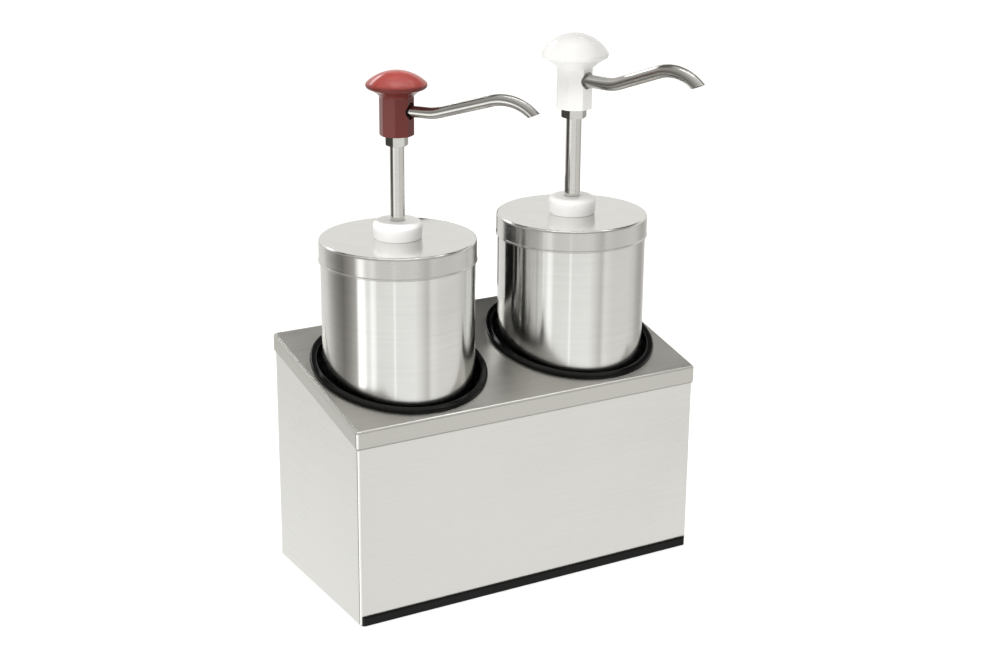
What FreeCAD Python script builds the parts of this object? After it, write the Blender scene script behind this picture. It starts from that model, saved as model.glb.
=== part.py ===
import FreeCAD, Part
import math
import os

# Twin condiment pump dispenser: a sheet-metal stand with a sloped cover holds two jars, and each
# jar's lid carries a press-down pump with a palm knob and a bent spout.
# Millimetres, +Z up, +X to the right, +Y to the back. The origin is on the counter, in the
# middle of the front wall's outer face.

# ---- stand ------------------------------------------------------------------------------
WIDTH = 350.0  # across the outside of the side walls
DEPTH = 171.0  # front wall's outer face to rear wall's outer face
SHEET = 1.2
SLOPE = math.radians(12.8)
COVER_FRONT_Z = 183.3  # top of the cover at its front edge
COVER_PLAY = 0.1  # between the cover's skirt and the walls
SKIRT = 18.0
BEND_R = 2.6  # outer radius of every sheet bend
WALL_BOTTOM_Z = 1.0
BASE_TOP_Z = 14.0
BASE_FLANGE = 5.0
STRIP_H = 8.5
STRIP_PROUD = 2.0
STRIP_INNER_LIP = 1.6
STRIP_END_GAP = 1.5
STRIP_ROUND = 1.4

# ---- jar holes and their rubber trims -----------------------------------------------------
JAR_PITCH = 182.0
HOLE_R = 76.5
TRIM_INNER_R = 73.5
TRIM_OUTER_R = 80.4
TRIM_ABOVE = 3.5
TRIM_BELOW = 3.6
TRIM_ROUND = 2.0

# ---- jar and lid --------------------------------------------------------------------------
JAR_R = 68.8
JAR_WALL = 0.9
JAR_BOTTOM_R = 12.0
JAR_HEM = 2.4  # thickness of the hem rolled inwards at the mouth
JAR_HEM_H = 4.5
LID_R = 70.1
LID_TOP_Z = 323.0
LID_SHEET = 0.8
LID_SKIRT = 20.2
LID_ROUND = 2.2
LID_HEM = 0.5  # how far the skirt's lower edge stands proud
LID_HOLE_R = 16.6

# ---- pump below the knob, the same on both sides ------------------------------------------
COLLAR_R = 22.0
COLLAR_FOOT_R = 21.2
COLLAR_H = 16.0
COLLAR_ROUND = 5.0
COLLAR_ROOF = 3.5
COLLAR_HOLE_PLAY = 0.35
NECK_R = 16.2
NECK_H = 10.5  # the threaded neck's height above the lid
FLANGE_R = 21.0
FLANGE_H = 2.5
GASKET_H = 1.5
CYLINDER_R = 15.5
BORE_R = 13.5
BUSH_BELOW_LID = 5.5
WIPER_H = 2.0
WIPER_W = 2.2
RUNNING_PLAY = 0.05
SPRING_FREE_OF_SEAT = 0.1
SPRING_L = 66.0
SPRING_R = 11.3
SPRING_WIRE_R = 0.8
SPRING_TURNS = 6
SEAT_H = 2.0
SEAT_R = 12.9
SEAT_HOLE_R = 6.5
PISTON_R = 13.2
PISTON_H = 20.0
PISTON_TOP_GAP = 0.3
PISTON_SOCKET = 8.0
SEAL_RING_R = 1.3
SEAL_HEIGHTS = (6.0, 14.0)  # above the piston's bottom
VALVE_SPIGOT_H = 10.0
VALVE_FLANGE_H = 10.0
NIPPLE_R = 5.5
NIPPLE_H = 12.0
DIP_WALL = 1.4
DIP_BOTTOM_GAP = 9.0  # above the jar's floor
SHAFT_WALL = 1.2
STOP_PIN_R = 0.8
BALL_PLAY = 0.1

# ---- what differs between the two pumps ---------------------------------------------------
# head_z is the underside of the knob's octagonal head, and the other heights are above it:
# flare_z is where the cap's flared underside starts, inside the head, and crown_z is the cap's
# widest ring. Spout sizes are for its centre line. Turns, rises and tip_turn are in degrees, and
# tip_turn is how far below level the spout ends.
PUMPS = {
    "left": dict(
        x=-JAR_PITCH / 2, shaft_r=6.35, nut_flats=17.4, nut_h=9.2, nut_turn=43.0,
        head_z=414.9, head_flats=28.2, flare_z=31.5, flare_r=13.0, flare_bow=1.3,
        crown_z=43.8, crown_r=26.9, rim_r=3.2, dome_h=12.5, recess_r=7.4,
        spout_z=22.0, spout_r=5.0, spout_turn=35.0, spout_level=30.0, spout_rise=16.5,
        rise_bend_r=42.0, tip_bend_r=40.0, spout_reach=127.5, tip_turn=40.0,
    ),
    "right": dict(
        x=JAR_PITCH / 2, shaft_r=7.15, nut_flats=20.4, nut_h=8.7, nut_turn=39.0,
        head_z=421.3, head_flats=31.4, flare_z=35.3, flare_r=14.6, flare_bow=0.75,
        crown_z=49.4, crown_r=30.5, rim_r=3.6, dome_h=18.9, recess_r=7.8,
        spout_z=26.8, spout_r=5.85, spout_turn=17.0, spout_level=37.0, spout_rise=20.0,
        rise_bend_r=46.0, tip_bend_r=44.0, spout_reach=137.0, tip_turn=36.0,
    ),
}
HEAD_SIDES = 8
HEAD_EDGE_R = 1.1
HEAD_CHAMFER = 0.6
RIM_UNDER = math.radians(62)  # how far below level the rim's round goes on
RECESS_DEPTH = 4.5
SPOUT_WALL = 1.0
SPOUT_START = 7.5  # how far from the shaft's axis the spout tube begins
TIP_STRAIGHT = 2.5
TIP_CUT = 24.0  # degrees between the outlet's cut and the horizontal
SPOUT_SEAL_PLAY = 0.05

JAR_Y = DEPTH / 2
RIM_Z = LID_TOP_Z - LID_SHEET  # the jar's mouth, which the lid rests on
NECK_TOP_Z = LID_TOP_Z + NECK_H
FLANGE_TOP_Z = RIM_Z - GASKET_H
BUSH_BOTTOM_Z = LID_TOP_Z - BUSH_BELOW_LID
PISTON_TOP_Z = BUSH_BOTTOM_Z - PISTON_TOP_GAP
PISTON_Z = PISTON_TOP_Z - PISTON_H
SEAT_Z = PISTON_Z - SPRING_FREE_OF_SEAT - SEAT_H
SPRING_Z = SEAT_Z - SPRING_L
VALVE_FLANGE_TOP_Z = SPRING_Z - VALVE_SPIGOT_H
VALVE_FLANGE_Z = VALVE_FLANGE_TOP_Z - VALVE_FLANGE_H
JAR_FLOOR_Z = BASE_TOP_Z + JAR_WALL
UP = FreeCAD.Vector(0, 0, 1)
ORIGIN = FreeCAD.Vector(0, 0, 0)


# ---- drawing helpers ----------------------------------------------------------------------
def point(r, z):
    """A point of a turned part's outline: radius and height."""
    return FreeCAD.Vector(r, 0, z)


def rounded_wire(corners):
    """A closed outline in the XZ plane. Each corner is (r, z) or (r, z, radius of its round)."""
    count = len(corners)
    spots = [point(c[0], c[1]) for c in corners]
    ends = []
    for i, corner in enumerate(corners):
        here, before, after = spots[i], spots[i - 1], spots[(i + 1) % count]
        radius = corner[2] if len(corner) > 2 else 0
        if not radius:
            ends.append((here, None, here))
            continue
        to_before = (before - here).normalize()
        to_after = (after - here).normalize()
        half = to_before.getAngle(to_after) / 2
        reach = radius / math.tan(half)
        middle = (to_before + to_after).normalize() * (radius / math.sin(half) - radius)
        ends.append((here + to_before * reach, here + middle, here + to_after * reach))
    edges = []
    for i, (start, middle, end) in enumerate(ends):
        if middle is not None:
            edges.append(Part.Arc(start, middle, end).toShape())
        following = ends[(i + 1) % count][0]
        if (following - end).Length > 1e-6:
            edges.append(Part.LineSegment(end, following).toShape())
    return Part.Wire(edges)


def turned(corners):
    """A solid of revolution about Z."""
    return Part.Face(rounded_wire(corners)).revolve(ORIGIN, UP, 360)


def tube(outer, inner, low, high):
    """A plain ring or sleeve."""
    return turned([(inner, low), (outer, low), (outer, high), (inner, high)])


def rod(radius, length, start, direction):
    return Part.makeCylinder(radius, length, start, direction)


def torus(radius, section, z):
    return Part.makeTorus(radius, section, FreeCAD.Vector(0, 0, z), UP)


def polygon_prism(sides, flats, low, high, turn=0.0):
    """A regular prism with its first flat facing the direction turn, in degrees from -Y to +X."""
    corner_r = flats / 2 / math.cos(math.pi / sides)
    first = math.radians(turn - 90) + math.pi / sides
    corners = []
    for i in range(sides):
        angle = first + 2 * math.pi * i / sides
        corners.append(FreeCAD.Vector(corner_r * math.cos(angle), corner_r * math.sin(angle), low))
    outline = Part.makePolygon(corners + corners[:1])
    return Part.Face(outline).extrude(UP * (high - low))


def edges_where(shape, test):
    return [edge for edge in shape.Edges if test(edge)]


def is_upright(edge):
    low, high = edge.BoundBox.ZMin, edge.BoundBox.ZMax
    flat = max(edge.BoundBox.XLength, edge.BoundBox.YLength)
    return flat < 1e-4 and high - low > 1e-3


def heading(turn):
    """The level unit vector at this angle, in degrees from -Y towards +X."""
    angle = math.radians(turn)
    return FreeCAD.Vector(math.sin(angle), -math.cos(angle), 0)


def group(solids):
    return Part.makeCompound(solids)


# ---- stand --------------------------------------------------------------------------------
def cover_z(y):
    """Height of the cover's top face above the point y."""
    return COVER_FRONT_Z + (y + COVER_PLAY + SHEET) * math.tan(SLOPE)


def sloped_block(inset, low_drop, high_drop, level_bottom=None):
    """The stand's plan, set in from the walls' outer faces by inset, between two planes that
    lie low_drop and high_drop below the cover's top face, or from level_bottom up."""
    front, rear = inset, DEPTH - inset
    outline = []
    for y, drop in ((front, low_drop), (rear, low_drop), (rear, high_drop), (front, high_drop)):
        z = cover_z(y) - drop
        if level_bottom is not None and drop == low_drop:
            z = level_bottom
        outline.append(FreeCAD.Vector(inset - WIDTH / 2, y, z))
    face = Part.Face(Part.makePolygon(outline + outline[:1]))
    return face.extrude(FreeCAD.Vector(WIDTH - 2 * inset, 0, 0))


def around_jars(radius_out, radius_in, low, high):
    """Upright rings, one round each jar."""
    rings = []
    for pump in PUMPS.values():
        ring = tube(radius_out, radius_in, low, high)
        ring.translate(FreeCAD.Vector(pump["x"], JAR_Y, 0))
        rings.append(ring)
    return rings


def jar_wells(radius):
    wells = []
    for pump in PUMPS.values():
        start = FreeCAD.Vector(pump["x"], JAR_Y, 0)
        wells.append(rod(radius, COVER_FRONT_Z * 2, start, UP))
    return wells


def stand_shell():
    """Four walls bent from one sheet, with the upper edge cut to the cover's slope."""
    under_cover = SHEET / math.cos(SLOPE) + BEND_R - SHEET
    outer = sloped_block(0, 0.5, under_cover, WALL_BOTTOM_Z)
    outer = outer.makeFillet(BEND_R, edges_where(outer, is_upright))
    inner = sloped_block(SHEET, 0.5, under_cover - 1, WALL_BOTTOM_Z - 1)
    inner = inner.makeFillet(BEND_R - SHEET, edges_where(inner, is_upright))
    return outer.cut(inner)


def top_cover():
    """Sloped sheet with a turned-down skirt and two jar holes."""
    outside = -(COVER_PLAY + SHEET)
    outer = sloped_block(outside, SKIRT, 0)
    outer = outer.makeFillet(BEND_R, edges_where(outer, is_upright))
    top = max(outer.Faces, key=lambda f: f.CenterOfMass.z)
    outer = outer.makeFillet(BEND_R - 0.2, top.Edges)
    inner = sloped_block(-COVER_PLAY, SKIRT + 1, SHEET / math.cos(SLOPE))
    inner = inner.makeFillet(BEND_R - SHEET, edges_where(inner, is_upright))
    ceiling = max(inner.Faces, key=lambda f: f.CenterOfMass.z)
    inner = inner.makeFillet(BEND_R - SHEET - 0.2, ceiling.Edges)
    cover = outer.cut(inner)
    for well in jar_wells(HOLE_R):
        cover = cover.cut(well)
    return cover


def base_plate():
    """Flat plate with its edges turned down, between the walls. The jars stand on it."""
    inset = SHEET + 0.1
    size_x, size_y = WIDTH - 2 * inset, DEPTH - 2 * inset
    low = BASE_TOP_Z - BASE_FLANGE
    corner = FreeCAD.Vector(-size_x / 2, inset, low)
    outer = Part.makeBox(size_x, size_y, BASE_FLANGE, corner)
    outer = outer.makeFillet(BEND_R, edges_where(outer, is_upright))
    within = FreeCAD.Vector(corner.x + SHEET, corner.y + SHEET, low - 1)
    inner = Part.makeBox(size_x - 2 * SHEET, size_y - 2 * SHEET, BASE_FLANGE + 1 - SHEET, within)
    inner = inner.makeFillet(BEND_R - SHEET, edges_where(inner, is_upright))
    return outer.cut(inner)


def edge_strip():
    """Rubber channel on the front wall's bottom edge, with bevelled ends."""
    low_y, high_y = -STRIP_PROUD, SHEET + STRIP_INNER_LIP
    length = WIDTH - 2 * STRIP_END_GAP
    corner = FreeCAD.Vector(-length / 2, low_y, 0)
    strip = Part.makeBox(length, high_y - low_y, STRIP_H, corner)
    ends = edges_where(strip, lambda e: is_upright(e) and e.BoundBox.YMin < low_y + 1)
    strip = strip.makeChamfer(STRIP_PROUD - 0.2, ends)
    along = edges_where(strip, lambda e: e.BoundBox.XLength > length * 0.9 and e.BoundBox.ZMin > 1)
    strip = strip.makeFillet(STRIP_ROUND, along)
    slot = Part.makeBox(WIDTH, SHEET, STRIP_H, FreeCAD.Vector(-WIDTH / 2, 0, WALL_BOTTOM_Z))
    return strip.cut(slot)


def hole_trims():
    """Rubber channel rings that grip the cover's sheet round each jar hole."""
    sheet_drop = SHEET / math.cos(SLOPE)
    slab = sloped_block(0, sheet_drop + TRIM_BELOW, -TRIM_ABOVE)
    sheet = sloped_block(-5, sheet_drop, 0)
    trims = []
    for body, groove in zip(
        around_jars(TRIM_OUTER_R, TRIM_INNER_R, 0, COVER_FRONT_Z * 2),
        around_jars(TRIM_OUTER_R + 1, HOLE_R, 0, COVER_FRONT_Z * 2),
    ):
        trim = slab.common(body)
        top = max(trim.Faces, key=lambda f: f.CenterOfMass.z)
        trim = trim.makeFillet(TRIM_ROUND, top.Edges)
        trims.append(trim.cut(sheet.common(groove)))
    return trims


# ---- jar and lid --------------------------------------------------------------------------
def jar():
    """Deep-drawn jar with a hem rolled inwards at the mouth."""
    floor, mouth = BASE_TOP_Z, RIM_Z
    inner = JAR_R - JAR_WALL
    lip = JAR_R - JAR_HEM
    return turned([
        (0, floor),
        (JAR_R, floor, JAR_BOTTOM_R),
        (JAR_R, mouth, JAR_HEM / 2 - 0.05),
        (lip, mouth, JAR_HEM / 2 - 0.05),
        (lip, mouth - JAR_HEM_H + JAR_HEM),
        (inner, mouth - JAR_HEM_H),
        (inner, floor + JAR_WALL, JAR_BOTTOM_R - JAR_WALL),
        (0, floor + JAR_WALL),
    ])


def lid():
    """Flat lid with a deep skirt, whose lower edge is hemmed outwards."""
    top, low = LID_TOP_Z, LID_TOP_Z - LID_SKIRT
    inner = LID_R - LID_SHEET
    return turned([
        (LID_HOLE_R, RIM_Z),
        (inner, RIM_Z, LID_ROUND - LID_SHEET),
        (inner, low),
        (LID_R + LID_HEM, low, 0.5),
        (LID_R + LID_HEM, low + 1.4, 0.4),
        (LID_R, low + 2.2),
        (LID_R, top, LID_ROUND),
        (LID_HOLE_R, top),
    ])


# ---- pump, below the knob -----------------------------------------------------------------
def collar_nut(shaft_r):
    """Plastic nut that clamps the pump to the lid."""
    top = LID_TOP_Z + COLLAR_H
    roof = top - COLLAR_ROOF
    hole = shaft_r + COLLAR_HOLE_PLAY
    return turned([
        (NECK_R + 0.1, LID_TOP_Z),
        (COLLAR_FOOT_R, LID_TOP_Z, 0.6),
        (COLLAR_R, LID_TOP_Z + COLLAR_H * 0.6, 20),
        (COLLAR_R, top, COLLAR_ROUND),
        (hole, top, 0.6),
        (hole, roof),
        (NECK_R + 0.1, roof),
    ])


def pump_cylinder():
    """Tube with a flange under the lid and a neck through it."""
    low = VALVE_FLANGE_TOP_Z
    return turned([
        (BORE_R, low),
        (CYLINDER_R, low, 0.6),
        (CYLINDER_R, FLANGE_TOP_Z - FLANGE_H),
        (FLANGE_R, FLANGE_TOP_Z - FLANGE_H, 0.6),
        (FLANGE_R, FLANGE_TOP_Z),
        (NECK_R, FLANGE_TOP_Z),
        (NECK_R, NECK_TOP_Z),
        (BORE_R, NECK_TOP_Z),
    ])


def guide_bush(shaft_r):
    """Flanged bush in the neck. Its underside is the piston's upper stop."""
    roof = LID_TOP_Z + COLLAR_H - COLLAR_ROOF
    bore = shaft_r + RUNNING_PLAY
    pocket = bore + WIPER_W
    return turned([
        (bore, BUSH_BOTTOM_Z),
        (BORE_R - 0.1, BUSH_BOTTOM_Z, 0.6),
        (BORE_R - 0.1, NECK_TOP_Z),
        (NECK_R - 0.2, NECK_TOP_Z),
        (NECK_R - 0.2, roof),
        (pocket, roof),
        (pocket, roof - WIPER_H),
        (bore, roof - WIPER_H),
    ])


def wiper_seal(shaft_r):
    roof = LID_TOP_Z + COLLAR_H - COLLAR_ROOF
    bore = shaft_r + RUNNING_PLAY
    return tube(bore + WIPER_W, bore, roof - WIPER_H, roof)


def seat_cone(hole_r, chamber_r, hole_top, top):
    """The hollow of a ball check: a through hole, a 45 degree seat and the ball's chamber."""
    return [
        (hole_r, hole_top),
        (chamber_r, hole_top + chamber_r - hole_r),
        (chamber_r, top),
    ]


def ball_centre_z(ball_r, hole_r, hole_top):
    """Height of a ball that rests in a 45 degree seat."""
    return hole_top - hole_r + ball_r * math.sqrt(2) + BALL_PLAY


SUCTION = dict(ball_r=4.8, hole_r=3.2, chamber_r=6.0, hole_top=VALVE_FLANGE_Z + 3.4)
DISCHARGE = dict(ball_r=4.2, hole_r=2.8, chamber_r=5.3, hole_top=PISTON_Z + 3.0)
SUCTION_LIFT = 3.0
DISCHARGE_LIFT = 2.5


def check_ball(check):
    z = ball_centre_z(check["ball_r"], check["hole_r"], check["hole_top"])
    return Part.makeSphere(check["ball_r"], FreeCAD.Vector(0, 0, z))


def stop_pin(check, lift, length):
    """Cross pin that stops a check ball after its lift."""
    z = ball_centre_z(check["ball_r"], check["hole_r"], check["hole_top"])
    z += check["ball_r"] + lift + STOP_PIN_R
    return rod(STOP_PIN_R, length, FreeCAD.Vector(-length / 2, 0, z), FreeCAD.Vector(1, 0, 0))


def suction_pin():
    return stop_pin(SUCTION, SUCTION_LIFT, 2 * (BORE_R - 1.2))


def foot_valve():
    """Valve body in the cylinder's lower end, with a seal groove and a nipple for the dip tube."""
    spigot = BORE_R - 0.05
    groove = spigot - 2.4
    middle = VALVE_FLANGE_TOP_Z + 3.0
    hole = SUCTION["hole_r"]
    body = turned([
        (hole, VALVE_FLANGE_Z - NIPPLE_H),
        (NIPPLE_R, VALVE_FLANGE_Z - NIPPLE_H, 0.8),
        (NIPPLE_R, VALVE_FLANGE_Z),
        (CYLINDER_R, VALVE_FLANGE_Z, 1.5),
        (CYLINDER_R, VALVE_FLANGE_TOP_Z),
        (spigot, VALVE_FLANGE_TOP_Z),
        (spigot, middle - SEAL_RING_R),
        (groove, middle - SEAL_RING_R),
        (groove, middle + SEAL_RING_R),
        (spigot, middle + SEAL_RING_R),
        (spigot, SPRING_Z),
        *reversed(seat_cone(hole, SUCTION["chamber_r"], SUCTION["hole_top"], SPRING_Z)),
    ])
    return body.cut(suction_pin())


def foot_valve_seal():
    return torus(BORE_R - 0.02 - SEAL_RING_R + 0.15, SEAL_RING_R - 0.15, VALVE_FLANGE_TOP_Z + 3.0)


def dip_tube():
    return tube(NIPPLE_R + DIP_WALL, NIPPLE_R, JAR_FLOOR_Z + DIP_BOTTOM_GAP, VALVE_FLANGE_Z - 0.5)


def return_spring():
    """Open-coiled compression spring between the valve body and the spring seat."""
    rise = SPRING_L - 2 * SPRING_WIRE_R - 0.2
    helix = Part.makeHelix(rise / SPRING_TURNS, rise, SPRING_R)
    helix.translate(FreeCAD.Vector(0, 0, SPRING_Z + SPRING_WIRE_R + 0.1))
    start = FreeCAD.Vector(SPRING_R, 0, SPRING_Z + SPRING_WIRE_R + 0.1)
    section = Part.Wire(Part.makeCircle(SPRING_WIRE_R, start, FreeCAD.Vector(0, 1, 0)))
    return Part.Wire(helix.Edges).makePipeShell([section], True, True)


def spring_seat():
    return tube(SEAT_R, SEAT_HOLE_R, SEAT_Z, SEAT_Z + SEAT_H)


# ---- plunger ------------------------------------------------------------------------------
def shaft_top_z(pump):
    return pump["head_z"] + pump["spout_z"] - pump["spout_r"] - 1.0


def discharge_pin(shaft_r):
    return stop_pin(DISCHARGE, DISCHARGE_LIFT, 2 * (shaft_r - STOP_PIN_R / 4))


def shaft(pump):
    r = pump["shaft_r"]
    sleeve = tube(r, r - SHAFT_WALL, PISTON_TOP_Z - PISTON_SOCKET, shaft_top_z(pump))
    return sleeve.cut(discharge_pin(r))


def piston(shaft_r):
    """Piston with two seal grooves, a socket for the shaft and the discharge ball's chamber."""
    groove = PISTON_R - 2.3
    outline = [(DISCHARGE["hole_r"], PISTON_Z), (PISTON_R, PISTON_Z, 0.5)]
    for height in SEAL_HEIGHTS:
        z = PISTON_Z + height
        outline += [
            (PISTON_R, z - SEAL_RING_R),
            (groove, z - SEAL_RING_R),
            (groove, z + SEAL_RING_R),
            (PISTON_R, z + SEAL_RING_R),
        ]
    socket_z = PISTON_TOP_Z - PISTON_SOCKET
    hollow = seat_cone(
        DISCHARGE["hole_r"], DISCHARGE["chamber_r"], DISCHARGE["hole_top"], socket_z
    )
    outline += [(PISTON_R, PISTON_TOP_Z, 0.5), (shaft_r, PISTON_TOP_Z), (shaft_r, socket_z)]
    return turned(outline + list(reversed(hollow)))


def piston_seals():
    section = SEAL_RING_R - 0.15
    radius = BORE_R - RUNNING_PLAY - section
    return group([torus(radius, section, PISTON_Z + height) for height in SEAL_HEIGHTS])


def lock_nut(pump):
    """Hex nut that locks the knob on the shaft, with its corners chamfered."""
    high = pump["head_z"]
    low = high - pump["nut_h"]
    flats = pump["nut_flats"]
    corner_r = flats / 2 / math.cos(math.pi / 6)
    hexagon = polygon_prism(6, flats, low, high, pump["nut_turn"])
    envelope = turned([
        (pump["shaft_r"], low),
        (corner_r - 1.0, low),
        (corner_r + 0.1, low + 0.8),
        (corner_r + 0.1, high - 0.8),
        (corner_r - 1.0, high),
        (pump["shaft_r"], high),
    ])
    return hexagon.common(envelope)


def cap(pump):
    """Mushroom cap: a domed top, a round rim tangent to it and a flared underside."""
    crown = pump["head_z"] + pump["crown_z"]
    rise, rim_r = pump["dome_h"], pump["rim_r"]
    hub = point(pump["crown_r"] - rim_r, crown)
    dome_r = (hub.x ** 2 + rise ** 2 - rim_r ** 2) / (rise - rim_r) / 2
    centre = point(0, crown + rise - dome_r)
    shoulder = (hub - centre).normalize()
    join = hub + shoulder * rim_r
    apex = centre + UP * dome_r
    half_way = centre + (UP + shoulder).normalize() * dome_r
    lip = hub + point(math.cos(RIM_UNDER), -math.sin(RIM_UNDER)) * rim_r
    foot = point(pump["flare_r"], pump["head_z"] + pump["flare_z"])
    chord = lip - foot
    bowed = foot + chord * 0.5 + point(-chord.z, chord.x).normalize() * pump["flare_bow"]
    foot_centre = point(0, foot.z)
    outline = [
        Part.Arc(apex, half_way, join).toShape(),
        Part.Arc(join, hub + point(rim_r, 0), lip).toShape(),
        Part.Arc(lip, bowed, foot).toShape(),
        Part.LineSegment(foot, foot_centre).toShape(),
        Part.LineSegment(foot_centre, apex).toShape(),
    ]
    return Part.Face(Part.Wire(outline)).revolve(ORIGIN, UP, 360)


def knob(pump):
    """Octagonal head under a mushroom cap, hollow for the shaft, the sauce and the spout."""
    low = pump["head_z"]
    high = low + pump["crown_z"] - pump["rim_r"]
    corner_r = pump["head_flats"] / 2 / math.cos(math.pi / HEAD_SIDES)
    head = polygon_prism(HEAD_SIDES, pump["head_flats"], low, high, pump["spout_turn"])
    head = head.makeFillet(HEAD_EDGE_R, edges_where(head, is_upright))
    envelope = turned([
        (0, low),
        (corner_r - HEAD_CHAMFER, low),
        (corner_r, low + HEAD_CHAMFER),
        (corner_r, high),
        (0, high),
    ])
    body = head.common(envelope).fuse(cap(pump)).removeSplitter()
    spout_z = low + pump["spout_z"]
    out = heading(pump["spout_turn"])
    centre = FreeCAD.Vector(0, 0, spout_z)
    shaft_hole = rod(pump["shaft_r"], shaft_top_z(pump) - low, FreeCAD.Vector(0, 0, low), UP)
    passage = rod(pump["spout_r"] - SPOUT_WALL, spout_z - low, FreeCAD.Vector(0, 0, low), UP)
    side_passage = rod(pump["spout_r"] - SPOUT_WALL, SPOUT_START, centre, out)
    spout_hole = rod(pump["spout_r"], pump["head_flats"], centre + out * SPOUT_START, out)
    floor = pump["head_flats"] / 2 - RECESS_DEPTH
    recess = rod(pump["recess_r"], pump["head_flats"], centre + out * floor, out)
    return body.cut(shaft_hole.multiFuse([passage, side_passage, spout_hole, recess]))


def spout_path(pump):
    """The spout's centre line in the XZ plane: level, a bend up, a rise, and a bend down."""
    rise, drop = math.radians(pump["spout_rise"]), math.radians(pump["tip_turn"])
    up_r, down_r = pump["rise_bend_r"], pump["tip_bend_r"]
    spout_z = pump["head_z"] + pump["spout_z"]

    def on_up_bend(angle):
        return point(pump["spout_level"] + up_r * math.sin(angle),
                     spout_z + up_r * (1 - math.cos(angle)))

    bend_end = on_up_bend(rise)
    crest_r = pump["spout_reach"] - down_r * math.sin(drop)
    rise_end_r = crest_r - down_r * math.sin(rise)
    rise_end = point(rise_end_r, bend_end.z + (rise_end_r - bend_end.x) * math.tan(rise))
    hub_z = rise_end.z - down_r * math.cos(rise)

    def on_down_bend(angle):
        return point(crest_r + down_r * math.sin(angle), hub_z + down_r * math.cos(angle))

    tip = on_down_bend(drop)
    along_tip = point(math.cos(drop), -math.sin(drop))
    start = point(SPOUT_START, spout_z)
    level_end = point(pump["spout_level"], spout_z)
    path = [
        Part.LineSegment(start, level_end).toShape(),
        Part.Arc(level_end, on_up_bend(rise / 2), bend_end).toShape(),
        Part.LineSegment(bend_end, rise_end).toShape(),
        Part.Arc(rise_end, on_down_bend((drop - rise) / 2), tip).toShape(),
        Part.LineSegment(tip, tip + along_tip * TIP_STRAIGHT * 5).toShape(),
    ]
    return Part.Wire(path), tip + along_tip * TIP_STRAIGHT


def spout(pump):
    """Bent tube, with its outlet cut off at a slant."""
    path, outlet = spout_path(pump)
    start = path.Vertexes[0].Point
    pipes = []
    for radius in (pump["spout_r"], pump["spout_r"] - SPOUT_WALL):
        section = Part.Wire(Part.makeCircle(radius, start, FreeCAD.Vector(1, 0, 0)))
        pipes.append(path.makePipeShell([section], True, False))
    bent = pipes[0].cut(pipes[1])
    side = pump["spout_r"] * 10
    waste = Part.makeBox(side, side, side, FreeCAD.Vector(-side / 2, -side / 2, -side))
    waste.rotate(ORIGIN, FreeCAD.Vector(0, 1, 0), -TIP_CUT)
    waste.translate(outlet)
    bent = bent.cut(waste)
    bent.rotate(ORIGIN, UP, pump["spout_turn"] - 90)
    return bent


def spout_seal(pump):
    """Ring at the bottom of the knob's recess, round the spout."""
    out = heading(pump["spout_turn"])
    section = (pump["recess_r"] - pump["spout_r"]) / 2 - SPOUT_SEAL_PLAY
    distance = pump["head_flats"] / 2 - RECESS_DEPTH + section + SPOUT_SEAL_PLAY
    centre = FreeCAD.Vector(0, 0, pump["head_z"] + pump["spout_z"]) + out * distance
    radius = (pump["recess_r"] + pump["spout_r"]) / 2
    return Part.makeTorus(radius, section, centre, out)


# ---- everything together ------------------------------------------------------------------
def rear_strip():
    strip = edge_strip()
    return strip.mirror(FreeCAD.Vector(0, DEPTH / 2, 0), FreeCAD.Vector(0, 1, 0))


def stand_parts():
    trims = hole_trims()
    return {
        "stand_shell": stand_shell(),
        "top_cover": top_cover(),
        "base_plate": base_plate(),
        "front_edge_strip": edge_strip(),
        "rear_edge_strip": rear_strip(),
        "left_hole_trim": trims[0],
        "right_hole_trim": trims[1],
    }


def pump_parts(side, pump):
    """Everything that stands on one jar's axis, the jar included."""
    shaft_r = pump["shaft_r"]
    parts = {
        "jar": jar(),
        "lid": lid(),
        "collar_nut": collar_nut(shaft_r),
        "lid_gasket": tube(FLANGE_R, LID_HOLE_R, FLANGE_TOP_Z, RIM_Z),
        "pump_cylinder": pump_cylinder(),
        "guide_bush": guide_bush(shaft_r),
        "wiper_seal": wiper_seal(shaft_r),
        "foot_valve": foot_valve(),
        "foot_valve_seal": foot_valve_seal(),
        "suction_ball": check_ball(SUCTION),
        "suction_stop_pin": suction_pin(),
        "dip_tube": dip_tube(),
        "return_spring": return_spring(),
        "spring_seat": spring_seat(),
        "shaft": shaft(pump),
        "piston": piston(shaft_r),
        "piston_seals": piston_seals(),
        "discharge_ball": check_ball(DISCHARGE),
        "discharge_stop_pin": discharge_pin(shaft_r),
        "lock_nut": lock_nut(pump),
        "knob": knob(pump),
        "spout": spout(pump),
        "spout_seal": spout_seal(pump),
    }
    for shape in parts.values():
        shape.translate(FreeCAD.Vector(pump["x"], JAR_Y, 0))
    return {f"{side}_{name}": shape for name, shape in parts.items()}


def main():
    os.makedirs("parts", exist_ok=True)
    parts = stand_parts()
    for side, pump in PUMPS.items():
        parts.update(pump_parts(side, pump))
    for name, shape in parts.items():
        if not shape.isValid() or not shape.Solids:
            print("BAD SHAPE", name, shape.ShapeType, len(shape.Solids))
        shape.exportStep(f"parts/{name}.step")
    print(len(parts), "parts written")


main()
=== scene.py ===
import math

import bpy
from mathutils import Matrix, Vector


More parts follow.
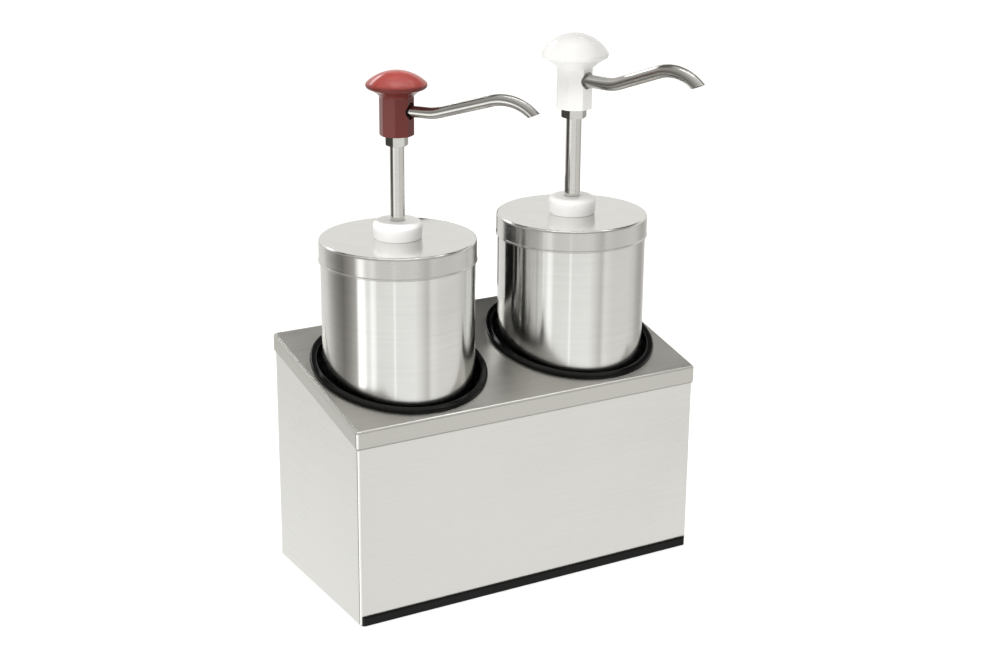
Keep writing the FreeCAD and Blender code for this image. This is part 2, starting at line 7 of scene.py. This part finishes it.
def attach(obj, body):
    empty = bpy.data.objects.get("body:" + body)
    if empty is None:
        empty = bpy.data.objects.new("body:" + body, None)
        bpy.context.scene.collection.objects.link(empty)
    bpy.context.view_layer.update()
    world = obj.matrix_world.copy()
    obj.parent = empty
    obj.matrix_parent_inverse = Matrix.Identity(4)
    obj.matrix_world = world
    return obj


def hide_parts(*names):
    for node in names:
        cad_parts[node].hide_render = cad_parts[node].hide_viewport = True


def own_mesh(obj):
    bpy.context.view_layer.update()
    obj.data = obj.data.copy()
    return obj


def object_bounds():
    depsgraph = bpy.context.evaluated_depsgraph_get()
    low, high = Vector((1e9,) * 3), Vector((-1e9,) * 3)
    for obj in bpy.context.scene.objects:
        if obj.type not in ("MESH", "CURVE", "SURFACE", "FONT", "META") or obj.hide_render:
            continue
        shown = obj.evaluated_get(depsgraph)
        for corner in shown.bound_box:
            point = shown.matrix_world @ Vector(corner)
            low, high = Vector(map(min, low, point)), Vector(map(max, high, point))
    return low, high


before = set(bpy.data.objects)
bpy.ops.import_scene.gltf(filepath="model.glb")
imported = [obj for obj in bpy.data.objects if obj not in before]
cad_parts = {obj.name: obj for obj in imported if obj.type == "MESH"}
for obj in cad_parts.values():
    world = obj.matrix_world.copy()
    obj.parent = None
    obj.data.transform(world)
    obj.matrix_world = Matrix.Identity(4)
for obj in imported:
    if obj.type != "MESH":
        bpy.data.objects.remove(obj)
cad_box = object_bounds()

# Looks of a twin condiment pump dispenser: brushed stainless stand and jars, black rubber trims,
# moulded plastic knobs and polished tubes. Metres, in the frame of the CAD model.

SIDES = ("left", "right")
JAR_X = 0.091  # each jar's axis is this far to the side of the middle
JAR_Y = 0.0855
COLLAR_Z = 0.365
KNOB_Z = 0.48

# ---- camera -------------------------------------------------------------------------------
CAMERA_AT = (-0.8027, -1.3022, 0.7588)
CAMERA_AZIMUTH = math.radians(-30.483)
CAMERA_ELEVATION = math.radians(18.616)
CAMERA_ROLL = math.radians(0.528)
LENS_MM = 65.88

# ---- studio -------------------------------------------------------------------------------
# What polished metal sees all round, as (degrees from the camera, positive to the camera's
# right, and brightness): a window-like softbox on the left between dark gaps, pale walls elsewhere.
STUDIO_BANDS = [
    (-180, 0.84), (-142, 0.80), (-126, 0.72), (-117, 0.54), (-106, 0.36), (-98, 0.27), (-86, 0.19),
    (-75, 0.26), (-66, 0.40), (-61, 0.50), (-57, 1.60), (-49, 1.55), (-46, 0.98), (-40, 0.94),
    (-37, 1.25), (-32, 1.20), (-28, 0.90), (-18, 0.91), (-4, 0.94), (-2, 1.30), (0, 0.94),
    (28, 0.97), (36, 0.84), (47, 0.60), (54, 0.88), (68, 0.77), (100, 0.76), (115, 0.66),
    (127, 0.48), (140, 0.42), (156, 0.60), (180, 0.84),
]
BAND_PEAK = 1.6
STREAK_SCALE = 22.0  # uneven light along the bands
STREAK_GAIN = (0.90, 1.10)
# Heights below are the upward part of a direction, from -1 straight down to 1 straight up.
NEARER_HEIGHTS = (-0.26, -0.47)  # the bands brighten downwards, as the table comes nearer
NEARER_GAIN = (0.94, 1.18)
LEFT_SINES = (-0.5, -0.8)  # where the table's left part starts, by the sine of the heading
LEFT_HEIGHTS = (-0.335, -0.36)
LEFT_GAIN = 1.25
BEHIND_COSINES = (0.1, -0.5)  # from the camera's side of the room to the side behind the object
HORIZON = 0.24  # brightness on the camera's side, from level up to the ceiling
CEILING = 0.67
CEILING_HEIGHT = 0.9
ZENITH = 0.30  # what straight above adds to it
ZENITH_HEIGHTS = (0.86, 1.0)
BACK_WALL = 0.84
BACK_CEILING = 0.12
BACK_ZENITH = 0.8
UNDERNEATH = 0.34
ROOM_FROM = (-0.16, 0.0)
CEILING_FROM = (0.40, 0.58)
BACK_ZENITH_FROM = (0.78, 0.88)
UNDERNEATH_FROM = (-0.55, -0.68)
DARK_CORNER = -102  # degrees from the camera
CORNER_EDGE = (0.075, 0.05)  # half width, as a share of the turn, where it starts and is full
CORNER_BOTTOM = (-0.262, -0.242)
CORNER_TOP = (-0.06, -0.14)
CORNER_SHADE = 0.78
DARK_TINT = (1.06, 1.0, 0.92)
BRIGHT_TINT = (1.0, 1.0, 0.98)

# Lights, placed by (degrees from the camera, elevation, distance), with their size and power.
STRIP_AT = (180, 84, 2.0)
STRIP_SIZE = (1.10, 0.14)
STRIP_POWER = 2.2
KICKERS = (("right_kicker", (127, 61, 2.0), 0.9, 1.2), ("left_kicker", (-143, 35, 2.0), 0.8, 3.5))
FRONT_AT = (-32, 6, 2.2)
FRONT_SIZE = 1.6
FRONT_POWER = 25
OVERHEAD_LIFT = 1.1
OVERHEAD_SIZE = 0.4
OVERHEAD_POWER = 3.0
# Spots, as (cone in degrees, lamp's radius, power).
KNOB_SPOT_AT = (-0.12, 0.06, 1.20)
KNOB_SPOT = (9.0, 0.06, 115)
COLLAR_SPOT_LIFT = 0.50
COLLAR_SPOT = (4.5, 0.04, 19)
SPOT_BLEND = 0.4

FLOOR_HALF = 6.0
FLOOR_Z = -0.0004  # just under the rubber strips
FLOOR_GLOW = 0.55
# Cards as (depth, low corner, high corner), each corner across and up.
FLAGS = ((0.150, (-0.055, 0.222), (-0.002, 0.330)), (0.200, (0.045, 0.226), (0.110, 0.330)))


class Graph:
    """Adds nodes to a tree. An input is a plain value or another node's output."""

    def __init__(self, tree):
        self.tree = tree

    def add(self, kind, inputs=None, **settings):
        node = self.tree.nodes.new(kind)
        for name, value in settings.items():
            setattr(node, name, value)
        for key, value in (inputs or {}).items():
            socket = node.inputs[key]
            if isinstance(value, bpy.types.NodeSocket):
                self.tree.links.new(value, socket)
            else:
                socket.default_value = value
        return node

    def math(self, operation, *values):
        return self.add("ShaderNodeMath", dict(enumerate(values)), operation=operation).outputs[0]

    def product(self, first, *others):
        for other in others:
            first = self.math("MULTIPLY", first, other)
        return first

    def vector_math(self, operation, *values):
        return self.add("ShaderNodeVectorMath", dict(enumerate(values)), operation=operation).outputs

    def remap(self, value, low, high, new_low=0.0, new_high=1.0, kind="LINEAR"):
        inputs = {
            "Value": value, "From Min": low, "From Max": high, "To Min": new_low, "To Max": new_high,
        }
        return self.add("ShaderNodeMapRange", inputs, interpolation_type=kind).outputs[0]

    def smooth(self, value, low, high):
        return self.remap(value, low, high, kind="SMOOTHSTEP")

    def noise(self, vector, scale, detail=2.0, roughness=0.5):
        inputs = {"Vector": vector, "Scale": scale, "Detail": detail, "Roughness": roughness}
        return self.add("ShaderNodeTexNoise", inputs).outputs["Fac"]

    def mix_colour(self, factor, first, second):
        inputs = {0: factor, 6: first, 7: second}
        return self.add("ShaderNodeMix", inputs, data_type="RGBA").outputs[2]

    def mix_vector(self, factor, first, second):
        inputs = {0: factor, 4: first, 5: second}
        return self.add("ShaderNodeMix", inputs, data_type="VECTOR").outputs[1]

    def mix_value(self, factor, first, second):
        return self.add("ShaderNodeMix", {0: factor, 2: first, 3: second}).outputs[0]

    def scaled(self, vector, factors):
        return self.vector_math("MULTIPLY", vector, factors)[0]


def rgba(red, green, blue):
    return (red, green, blue, 1.0)


# ---- camera, world and lights -------------------------------------------------------------
def make_camera():
    across = Vector((math.cos(CAMERA_AZIMUTH), math.sin(CAMERA_AZIMUTH), 0))
    flat = math.cos(CAMERA_ELEVATION)
    back = Vector((
        math.sin(CAMERA_AZIMUTH) * flat, -math.cos(CAMERA_AZIMUTH) * flat, math.sin(CAMERA_ELEVATION)
    ))
    up = back.cross(across)
    x_axis = across * math.cos(CAMERA_ROLL) + up * math.sin(CAMERA_ROLL)
    y_axis = up * math.cos(CAMERA_ROLL) - across * math.sin(CAMERA_ROLL)
    data = bpy.data.cameras.new("camera")
    data.lens = LENS_MM
    data.clip_start = 0.05
    data.clip_end = 60
    camera = bpy.data.objects.new("camera", data)
    turn = Matrix((x_axis, y_axis, back)).transposed().to_4x4()
    camera.matrix_world = Matrix.Translation(CAMERA_AT) @ turn
    bpy.context.scene.collection.objects.link(camera)
    bpy.context.scene.camera = camera


def make_world():
    """Studio walls for reflections and soft light, and plain white behind the object."""
    world = bpy.data.worlds.new("studio")
    bpy.context.scene.world = world
    world.use_nodes = True
    tree = world.node_tree
    tree.nodes.clear()
    graph = Graph(tree)
    direction = graph.add("ShaderNodeTexCoord").outputs["Generated"]
    parts = graph.add("ShaderNodeSeparateXYZ", {0: direction}).outputs
    # Heading round the object, from 0 to 1, with the camera's own direction in the middle.
    heading = graph.math("ARCTAN2", parts["X"], graph.math("MULTIPLY", parts["Y"], -1.0))
    turned = graph.math("SUBTRACT", heading, CAMERA_AZIMUTH)
    share = graph.math("FRACT", graph.math("ADD", graph.math("DIVIDE", turned, math.tau), 0.5))
    ramp_node = graph.add("ShaderNodeValToRGB", {"Fac": share})
    ramp = ramp_node.color_ramp
    ramp.interpolation = "LINEAR"
    for i, (degrees, brightness) in enumerate(STUDIO_BANDS):
        place = (degrees + 180) / 360
        level = brightness / BAND_PEAK
        stop = ramp.elements[i] if i < 2 else ramp.elements.new(place)
        stop.position = place
        stop.color = rgba(level, level, level)
    streaks = graph.add(
        "ShaderNodeTexNoise",
        {"W": graph.math("MULTIPLY", heading, STREAK_SCALE), "Detail": 6.0, "Roughness": 0.75},
        noise_dimensions="1D",
    ).outputs["Fac"]
    uneven = graph.remap(streaks, 0.3, 0.7, *STREAK_GAIN)
    nearer = graph.remap(parts["Z"], *NEARER_HEIGHTS, *NEARER_GAIN)
    # The table on the left is paler where it comes near, as the stand's end reflects it.
    left = graph.smooth(graph.math("SINE", turned), *LEFT_SINES)
    low_left = graph.product(left, graph.smooth(parts["Z"], *LEFT_HEIGHTS))
    left_gain = graph.remap(low_left, 0.0, 1.0, 1.0, LEFT_GAIN)
    bands = graph.product(ramp_node.outputs["Color"], uneven, nearer, left_gain, BAND_PEAK)
    # Above the table's height the room is dim on the camera's side and pale behind the object.
    behind = graph.smooth(graph.math("COSINE", turned), *BEHIND_COSINES)
    dim = graph.remap(parts["Z"], 0.0, CEILING_HEIGHT, HORIZON, CEILING)
    camera_side = graph.math("ADD", dim, graph.remap(parts["Z"], *ZENITH_HEIGHTS, 0.0, ZENITH))
    room = graph.remap(behind, 0.0, 1.0, camera_side, BACK_WALL)
    ceiling = graph.remap(behind, 0.0, 1.0, camera_side, BACK_CEILING)
    zenith = graph.remap(behind, 0.0, 1.0, camera_side, BACK_ZENITH)
    level = bands
    for heights, part in (
        (ROOM_FROM, room), (CEILING_FROM, ceiling),
        (BACK_ZENITH_FROM, zenith), (UNDERNEATH_FROM, UNDERNEATH),
    ):
        level = graph.mix_value(graph.smooth(parts["Z"], *heights), level, part)
    # A dark corner on the left, at the heights that the tubes above the lids reflect.
    off_corner = graph.math("ABSOLUTE", graph.math("SUBTRACT", share, (DARK_CORNER + 180) / 360))
    shade = graph.product(
        graph.smooth(off_corner, *CORNER_EDGE), graph.smooth(parts["Z"], *CORNER_BOTTOM),
        graph.smooth(parts["Z"], *CORNER_TOP), CORNER_SHADE,
    )
    level = graph.product(level, graph.math("SUBTRACT", 1.0, shade))
    tint = graph.mix_colour(level, rgba(*DARK_TINT), rgba(*BRIGHT_TINT))
    whole = graph.add("ShaderNodeVectorMath", {0: tint, 3: level}, operation="SCALE").outputs[0]
    seen = graph.add("ShaderNodeLightPath").outputs["Is Camera Ray"]
    colour = graph.mix_colour(seen, whole, rgba(1.0, 1.0, 1.0))
    background = graph.add("ShaderNodeBackground", {"Color": colour, "Strength": 1.0})
    output = graph.add("ShaderNodeOutputWorld")
    tree.links.new(background.outputs[0], output.inputs["Surface"])


def add_light(data, at, aim):
    light = bpy.data.objects.new(data.name, data)
    light.location = at
    light.rotation_euler = (Vector(aim) - Vector(at)).to_track_quat("-Z", "Y").to_euler()
    light.visible_camera = False
    bpy.context.scene.collection.objects.link(light)
    return light


def area_light(name, at, aim, size, power, size_y=None):
    data = bpy.data.lights.new(name, "AREA")
    data.shape = "RECTANGLE"
    data.size = size
    if size_y is not None:
        data.size_y = size_y
    data.energy = power
    return add_light(data, at, aim)


def spot_light(name, at, aim, cone, size, power):
    """A narrow soft spot that only brightens what isn't metal."""
    data = bpy.data.lights.new(name, "SPOT")
    data.spot_size = math.radians(cone)
    data.spot_blend = SPOT_BLEND
    data.shadow_soft_size = size
    data.energy = power
    add_light(data, at, aim).visible_glossy = False


def from_camera(degrees, elevation, distance):
    """A point round the middle of the object, by its heading from the camera's."""
    heading = CAMERA_AZIMUTH + math.radians(degrees)
    flat = math.cos(math.radians(elevation)) * distance
    middle = (cad_box[0] + cad_box[1]) / 2
    lift = math.sin(math.radians(elevation)) * distance
    return middle + Vector((math.sin(heading) * flat, -math.cos(heading) * flat, lift))


def make_lights():
    """Lights whose reflections show, then lights that only brighten what isn't metal."""
    middle = (cad_box[0] + cad_box[1]) / 2
    long_side, short_side = STRIP_SIZE
    strip = area_light(
        "strip", from_camera(*STRIP_AT), middle, long_side, STRIP_POWER, size_y=short_side
    )
    strip.rotation_euler.z = CAMERA_AZIMUTH
    for name, place, size, power in KICKERS:
        kicker = area_light(name, from_camera(*place), middle, size, power)
        kicker.visible_diffuse = False
    above = middle + Vector((0, 0, OVERHEAD_LIFT))
    fills = [
        area_light("front", from_camera(*FRONT_AT), middle, FRONT_SIZE, FRONT_POWER),
        area_light("overhead", above, middle, OVERHEAD_SIZE, OVERHEAD_POWER),
    ]
    for light in fills:
        light.visible_glossy = False
    spot_light("over_left_knob", KNOB_SPOT_AT, (-JAR_X, JAR_Y, KNOB_Z), *KNOB_SPOT)
    beam = Vector((math.sin(CAMERA_AZIMUTH), -math.cos(CAMERA_AZIMUTH), COLLAR_SPOT_LIFT))
    for name, across in (("left_collar", -JAR_X), ("right_collar", JAR_X)):
        collar = Vector((across, JAR_Y, COLLAR_Z))
        spot_light(name, collar + beam, collar, *COLLAR_SPOT)


# ---- staging ------------------------------------------------------------------------------
def four_corners(name, corners, material):
    mesh = bpy.data.meshes.new(name)
    mesh.from_pydata(corners, [], [(0, 1, 2, 3)])
    mesh.materials.append(material)
    obj = bpy.data.objects.new(name, mesh)
    bpy.context.scene.collection.objects.link(obj)
    return obj


def make_floor():
    """A pale floor. Metal doesn't see it: the world stands for the white table in reflections."""
    material, _, shader = new_material("floor_white")
    set_values(shader, Base_Color=rgba(0.93, 0.93, 0.93), Roughness=0.8)
    set_values(shader, Emission_Color=rgba(1, 1, 1), Emission_Strength=FLOOR_GLOW)
    half = FLOOR_HALF
    corners = [(-half, -half, FLOOR_Z), (half, -half, FLOOR_Z),
               (half, half, FLOOR_Z), (-half, half, FLOOR_Z)]
    floor = four_corners("floor", corners, material)
    floor.visible_glossy = False


def make_flags():
    """Black cards behind the jars, which show only as dark stripes in what is polished."""
    material, _, shader = new_material("flag_black")
    set_values(shader, Base_Color=rgba(0.01, 0.01, 0.01), Roughness=1.0, Specular_IOR_Level=0.0)
    for i, (depth, low, high) in enumerate(FLAGS):
        corners = [(low[0], depth, low[1]), (high[0], depth, low[1]),
                   (high[0], depth, high[1]), (low[0], depth, high[1])]
        flag = four_corners(f"flag_{i}", corners, material)
        flag.visible_camera = False
        flag.visible_diffuse = False
        flag.visible_shadow = False


# ---- materials ----------------------------------------------------------------------------
# Noise scales along each axis, in cycles a metre. Brush lines are fine across themselves.
WALL_LINES = (12.0, 12.0, 700.0)
TOP_LINES = (12.0, 700.0, 12.0)
SHEET_CLOUD = (10.0, 10.0, 13.0)
TURNED_LINES = (9.0, 9.0, 700.0)
TURNED_CLOUD = (11.0, 11.0, 14.0)
TUBE_GRAIN = 60.0
TUBE_CLOUD = 45.0
WIDE_LINES = (0.7, 0.7, 0.3)  # wide brush lines, next to the fine ones
FINE_SHARE = 0.6
PLASTIC_SKIN = 260.0
PLASTIC_PATCH = 35.0
RUBBER_PORES = 900.0
RUBBER_BLOOM = 40.0
# Depths of relief.
SHEET_RELIEF = 0.000008
TURNED_RELIEF = 0.00001
TUBE_RELIEF = 0.000003
PLASTIC_RELIEF = 0.00004
RUBBER_RELIEF = 0.00003
# How far each metal's tone swings either way.
SHEET_SPREAD = 0.10
TURNED_SPREAD = 0.07
TUBE_SPREAD = 0.04
LINE_WEAR = 0.45  # the brush lines' part in the wear, with the cloud as the rest
NOISE_RANGE = (0.32, 0.68)
BEND_FLATNESS = (0.965, 0.90)  # the largest part of a normal, on a flat face and well into a bend
# Painted highlight: the paler colour that bends take, so that they show as bright lines.
BEND_HIGHLIGHT_TONE = (0.96, 0.96, 0.94)
BEND_ROUGHNESS = 0.25
SHEET_TOP = 0.6  # upward part of a normal above which sheet is brushed as a top
LID_TOP = 0.7  # and above which a lid's face has the top's finish
PLASTIC_TONES = (0.95, 1.04)
SUBSURFACE_RADIUS = (1.0, 0.95, 0.85)


def new_material(name):
    material = bpy.data.materials.new(name)
    material.use_nodes = True
    graph = Graph(material.node_tree)
    shader = material.node_tree.nodes["Principled BSDF"]
    return material, graph, shader


def connect(graph, source, shader, socket):
    graph.tree.links.new(source, shader.inputs[socket])


def set_values(shader, **values):
    for name, value in values.items():
        shader.inputs[name.replace("_", " ")].default_value = value


def object_position(graph):
    return graph.add("ShaderNodeTexCoord").outputs["Object"]


def relief(graph, shader, height, depth):
    bump = graph.add("ShaderNodeBump", {"Strength": 1.0, "Distance": depth, "Height": height})
    connect(graph, bump.outputs[0], shader, "Normal")


def toned(colour, gain):
    return rgba(*[min(1.0, c * gain) for c in colour])


def finish_metal(graph, shader, grain, cloud, tone, rough, depth, spread, bend=None):
    """Grain and cloud drive the metal's tone, roughness and relief. Bends are polished by wear to a
    lower roughness, and their paler colour is a painted highlight.
    """
    lines = graph.product(graph.remap(grain, *NOISE_RANGE), LINE_WEAR)
    patches = graph.product(graph.remap(cloud, *NOISE_RANGE), 1 - LINE_WEAR)
    wear = graph.math("ADD", lines, patches)
    colour = graph.mix_colour(wear, toned(tone, 1 - spread), toned(tone, 1 + spread))
    roughness = graph.remap(wear, 0.1, 0.9, rough * 0.85, rough * 1.15)
    if bend is not None:
        # Painted highlight: bends are paler, so that they show as bright lines; the lower roughness
        # below is the real polish.
        colour = graph.mix_colour(bend, colour, rgba(*BEND_HIGHLIGHT_TONE))
        roughness = graph.remap(bend, 0.0, 1.0, roughness, BEND_ROUGHNESS)
    connect(graph, colour, shader, "Base Color")
    connect(graph, roughness, shader, "Roughness")
    relief(graph, shader, grain, depth)
    set_values(shader, Metallic=1.0)


def brushed(graph, along):
    """Fine and wide brush lines, mixed."""
    fine = graph.noise(along, 1.0, detail=3.0, roughness=0.65)
    wide = graph.noise(graph.scaled(along, WIDE_LINES), 1.0, detail=2.0)
    return graph.math("ADD", graph.product(fine, FINE_SHARE), graph.product(wide, 1 - FINE_SHARE))


def sheet_steel(name, tone, rough, anisotropic):
    """Sheet brushed along its length: level lines on the walls, left to right on top."""
    material, graph, shader = new_material(name)
    position = object_position(graph)
    normal = graph.add("ShaderNodeNewGeometry").outputs["Normal"]
    sides = graph.add("ShaderNodeSeparateXYZ", {0: graph.vector_math("ABSOLUTE", normal)[0]}).outputs
    on_top = graph.math("GREATER_THAN", sides["Z"], SHEET_TOP)
    flattest = graph.math("MAXIMUM", graph.math("MAXIMUM", sides["X"], sides["Y"]), sides["Z"])
    # Bends: polished by wear, and paler as a painted highlight.
    bend = graph.remap(flattest, *BEND_FLATNESS)
    wall = graph.scaled(position, WALL_LINES)
    top = graph.scaled(position, TOP_LINES)
    grain = brushed(graph, graph.mix_vector(on_top, wall, top))
    cloud = graph.noise(graph.scaled(position, SHEET_CLOUD), 1.0, detail=3.0)
    finish_metal(graph, shader, grain, cloud, tone, rough, SHEET_RELIEF, SHEET_SPREAD, bend)
    tangent = graph.mix_vector(on_top, (0.0, 0.0, 1.0), (0.0, 1.0, 0.0))
    connect(graph, tangent, shader, "Tangent")
    set_values(shader, Anisotropic=anisotropic)
    return material


def turned_steel(name, tone, rough, anisotropic):
    """Upright side of a turned part, polished round its axis so that the lines are level."""
    material, graph, shader = new_material(name)
    position = object_position(graph)
    grain = brushed(graph, graph.scaled(position, TURNED_LINES))
    cloud = graph.noise(graph.scaled(position, TURNED_CLOUD), 1.0, detail=4.0, roughness=0.55)
    finish_metal(graph, shader, grain, cloud, tone, rough, TURNED_RELIEF, TURNED_SPREAD)
    tangent = graph.add("ShaderNodeTangent", direction_type="RADIAL", axis="Z")
    connect(graph, tangent.outputs[0], shader, "Tangent")
    set_values(shader, Anisotropic=anisotropic, Anisotropic_Rotation=0.25)
    return material


def polished_steel(name, tone, rough, lines=900.0):
    """Drawn or polished metal, with faint lines that are level where the scale along Z is high."""
    material, graph, shader = new_material(name)
    position = object_position(graph)
    grain = graph.noise(graph.scaled(position, (TUBE_GRAIN, TUBE_GRAIN, lines)), 1.0, detail=2.0)
    cloud = graph.noise(position, TUBE_CLOUD, detail=4.0, roughness=0.6)
    finish_metal(graph, shader, grain, cloud, tone, rough, TUBE_RELIEF, TUBE_SPREAD)
    return material


def plastic(name, colour, rough, depth=0.0, shine=0.5):
    """Moulded plastic with a faint orange-peel skin."""
    material, graph, shader = new_material(name)
    position = object_position(graph)
    skin = graph.noise(position, PLASTIC_SKIN, detail=3.0)
    patch = graph.noise(position, PLASTIC_PATCH, detail=4.0, roughness=0.6)
    dark, light = (toned(colour, gain) for gain in PLASTIC_TONES)
    connect(graph, graph.mix_colour(patch, dark, light), shader, "Base Color")
    connect(graph, graph.remap(patch, 0.25, 0.75, rough * 0.8, rough * 1.25), shader, "Roughness")
    relief(graph, shader, skin, PLASTIC_RELIEF)
    set_values(shader, IOR=1.49, Specular_IOR_Level=shine)
    if depth:
        set_values(shader, Subsurface_Weight=0.15, Subsurface_Scale=depth)
        set_values(shader, Subsurface_Radius=SUBSURFACE_RADIUS)
    return material


def rubber(name, colour, rough):
    """Extruded rubber: fine pores, with a slight bloom."""
    material, graph, shader = new_material(name)
    position = object_position(graph)
    pores = graph.noise(position, RUBBER_PORES, detail=3.0, roughness=0.6)
    bloom = graph.noise(position, RUBBER_BLOOM, detail=4.0)
    lighter = rgba(*[c * 1.8 + 0.002 for c in colour])
    tone = graph.mix_colour(graph.remap(bloom, 0.4, 0.9), rgba(*colour), lighter)
    connect(graph, tone, shader, "Base Color")
    connect(graph, graph.remap(bloom, 0.3, 0.7, rough * 0.85, rough * 1.3), shader, "Roughness")
    relief(graph, shader, pores, RUBBER_RELIEF)
    set_values(shader, IOR=1.52, Specular_IOR_Level=0.18)
    return material


def paint(node, material):
    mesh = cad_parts[node].data
    mesh.materials.clear()
    mesh.materials.append(material)


def paint_top(node, material):
    """Gives the faces that look up a finish of their own."""
    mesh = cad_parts[node].data
    mesh.materials.append(material)
    for polygon in mesh.polygons:
        if polygon.normal.z > LID_TOP:
            polygon.material_index = 1


def paint_everything():
    stand = sheet_steel("stand_sheet", (0.90, 0.90, 0.88), 0.30, 0.6)
    cover = sheet_steel("cover_sheet", (0.74, 0.735, 0.70), 0.36, 0.3)
    black = rubber("edge_rubber", (0.002, 0.002, 0.002), 0.11)
    white = plastic("white_plastic", (0.82, 0.82, 0.81), 0.25, depth=0.002)
    collar = plastic("collar_plastic", (0.93, 0.93, 0.92), 0.30, depth=0.002)
    red = plastic("red_plastic", (0.118, 0.022, 0.019), 0.16, shine=0.33)
    natural = plastic("pump_plastic", (0.82, 0.82, 0.78), 0.42, depth=0.003)
    tubing = plastic("dip_tube_plastic", (0.78, 0.80, 0.78), 0.38, depth=0.004)
    seal = rubber("seal_rubber", (0.72, 0.71, 0.67), 0.45)
    wire = polished_steel("wire_steel", (0.68, 0.68, 0.66), 0.30)
    shaft = polished_steel("shaft_steel", (0.70, 0.695, 0.67), 0.13)
    # Painted shade: the spouts' steel is toned darker than the shafts', standing in for the dim room
    # that the spouts reflect.
    spout = polished_steel("spout_steel", (0.56, 0.555, 0.535), 0.19, lines=300.0)
    ball = polished_steel("ball_steel", (0.82, 0.82, 0.81), 0.06)
    lid_top = polished_steel("lid_top_steel", (0.80, 0.80, 0.78), 0.15, lines=60.0)
    paint("stand_shell", stand)
    paint("base_plate", stand)
    paint("top_cover", cover)
    for node in ("front_edge_strip", "rear_edge_strip", "left_hole_trim", "right_hole_trim"):
        paint(node, black)
    finishes = {
        "collar_nut": collar, "lid_gasket": seal, "pump_cylinder": natural, "guide_bush": natural,
        "wiper_seal": seal, "foot_valve": natural, "foot_valve_seal": seal, "suction_stop_pin": wire,
        "dip_tube": tubing, "return_spring": wire, "spring_seat": wire, "shaft": shaft,
        "piston": natural, "piston_seals": seal, "discharge_stop_pin": wire, "lock_nut": shaft,
        "spout": spout, "spout_seal": black, "suction_ball": ball, "discharge_ball": ball,
    }
    for side, knob in (("left", red), ("right", white)):
        paint(f"{side}_jar", turned_steel(f"{side}_jar_steel", (0.785, 0.785, 0.77), 0.14, 0.93))
        paint(f"{side}_lid", turned_steel(f"{side}_lid_steel", (0.76, 0.755, 0.735), 0.25, 0.95))
        paint_top(f"{side}_lid", lid_top)
        paint(f"{side}_knob", knob)
        for name, material in finishes.items():
            paint(f"{side}_{name}", material)
    paint("right_spout_seal", seal)


# ---- springs, each with a mesh of its own -------------------------------------------------
def make_springs():
    """The coils between the piston's seat and the valve, which shorten as a knob is pressed: each
    side's coils get a mesh of their own, carried by the lid's body.
    """
    for side in SIDES:
        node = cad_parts[f"{side}_return_spring"]
        coil = bpy.data.objects.new(f"{side}_spring_coil", node.data.copy())
        bpy.context.scene.collection.objects.link(coil)
        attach(coil, f"{side}_lid")
        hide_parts(f"{side}_return_spring")
        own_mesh(coil)


# ---- everything together ------------------------------------------------------------------
bpy.context.scene.view_settings.view_transform = "Standard"
make_camera()
make_world()
make_lights()
make_floor()
make_flags()
paint_everything()
make_springs()
